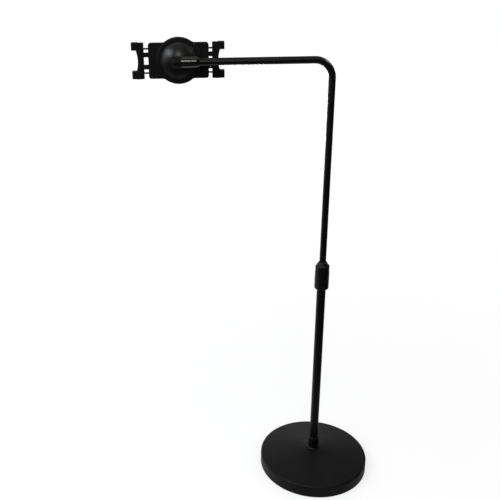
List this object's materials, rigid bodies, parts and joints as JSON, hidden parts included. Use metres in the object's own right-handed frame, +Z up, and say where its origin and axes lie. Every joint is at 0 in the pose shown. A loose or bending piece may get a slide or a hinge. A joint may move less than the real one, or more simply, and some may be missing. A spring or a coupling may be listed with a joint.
{
  "type": "adjustable tablet floor stand",
  "caption": "Floor stand with a round weighted base, telescopic pole with twist clutch, bent arm, and a tilting, turning holder whose sliding claws grip a tablet.",
  "frame": {"origin": "centre of the base's underside, on the floor", "axes": "+Z up along the pole; the arm runs along -X; the side of the holder that takes the tablet faces +Y"},
  "size_m": [0.5835, 0.284, 1.122],
  "materials": {
    "base_shell": "satin, fine grain",
    "tube_paint": "satin black paint",
    "cast_paint": "gloss black paint",
    "moulded_black": "fine moulded grain",
    "dome_black": "satin gloss",
    "rubber_black": "matt",
    "zinc_steel": "zinc plated",
    "dark_steel": "blackened",
    "weight_iron": "as cast",
    "nylon_white": "natural nylon"
  },
  "bodies": {
    "stand": {"foot_pad": "rubber_black", "base_weight": "weight_iron", "base_cover": "base_shell", "pole_ferrule": "moulded_black", "tube_plug": "zinc_steel", "base_bolt": "zinc_steel", "base_washer": "zinc_steel", "lower_tube": "tube_paint", "clutch_body": "moulded_black", "clutch_collet": "nylon_white"},
    "clutch": {"clutch_grip": "moulded_black", "clutch_nose_ring": "moulded_black"},
    "guide": {"guide_bush": "nylon_white"},
    "mast": {"upper_tube": "tube_paint", "arm_plug": "zinc_steel", "end_washer": "zinc_steel", "end_screw": "zinc_steel", "arm_collar": "cast_paint", "collar_screw": "zinc_steel"},
    "head": {"tilt_sleeve": "cast_paint", "sleeve_cap": "moulded_black", "sleeve_liner": "nylon_white", "swivel_dome": "dome_black", "friction_washer": "nylon_white", "swivel_bush": "zinc_steel", "swivel_washer": "zinc_steel", "swivel_bolt": "zinc_steel"},
    "holder": {"back_housing": "moulded_black", "front_plate": "moulded_black", "front_pad": "rubber_black", "housing_screws": "dark_steel", "brake_shoes": "rubber_black"},
    "left_claw": {"claw_left": "moulded_black", "claw_left_rods": "dark_steel", "claw_left_clips": "zinc_steel", "claw_left_pads": "rubber_black"},
    "right_claw": {"claw_right": "moulded_black", "claw_right_rods": "dark_steel", "claw_right_clips": "zinc_steel", "claw_right_pads": "rubber_black"}
  },
  "joints": [
    {"name": "clutch_twist", "type": "hinge", "parent": "stand", "child": "clutch", "pos_m": [0, 0, 0.56], "axis": [0, 0, 1], "range_deg": [0, 180]},
    {"name": "height_slide", "type": "slide", "parent": "stand", "child": "guide", "axis": [0, 0, 1], "range_m": [-0.32, 0.12]},
    {"name": "mast_swivel", "type": "hinge", "parent": "guide", "child": "mast", "pos_m": [0, 0, 0.43], "axis": [0, 0, 1], "continuous": true},
    {"name": "head_tilt", "type": "hinge", "parent": "mast", "child": "head", "pos_m": [-0.337, 0, 1.072], "axis": [1, 0, 0], "continuous": true},
    {"name": "holder_turn", "type": "hinge", "parent": "head", "child": "holder", "pos_m": [-0.337, 0.03, 1.072], "axis": [0, 1, 0], "continuous": true},
    {"name": "claw_left_slide", "type": "slide", "parent": "holder", "child": "left_claw", "axis": [-1, 0, 0], "range_m": [-0.0095, 0.026]},
    {"name": "claw_right_slide", "type": "slide", "parent": "holder", "child": "right_claw", "axis": [1, 0, 0], "range_m": [-0.0075, 0.028]}
  ]
}
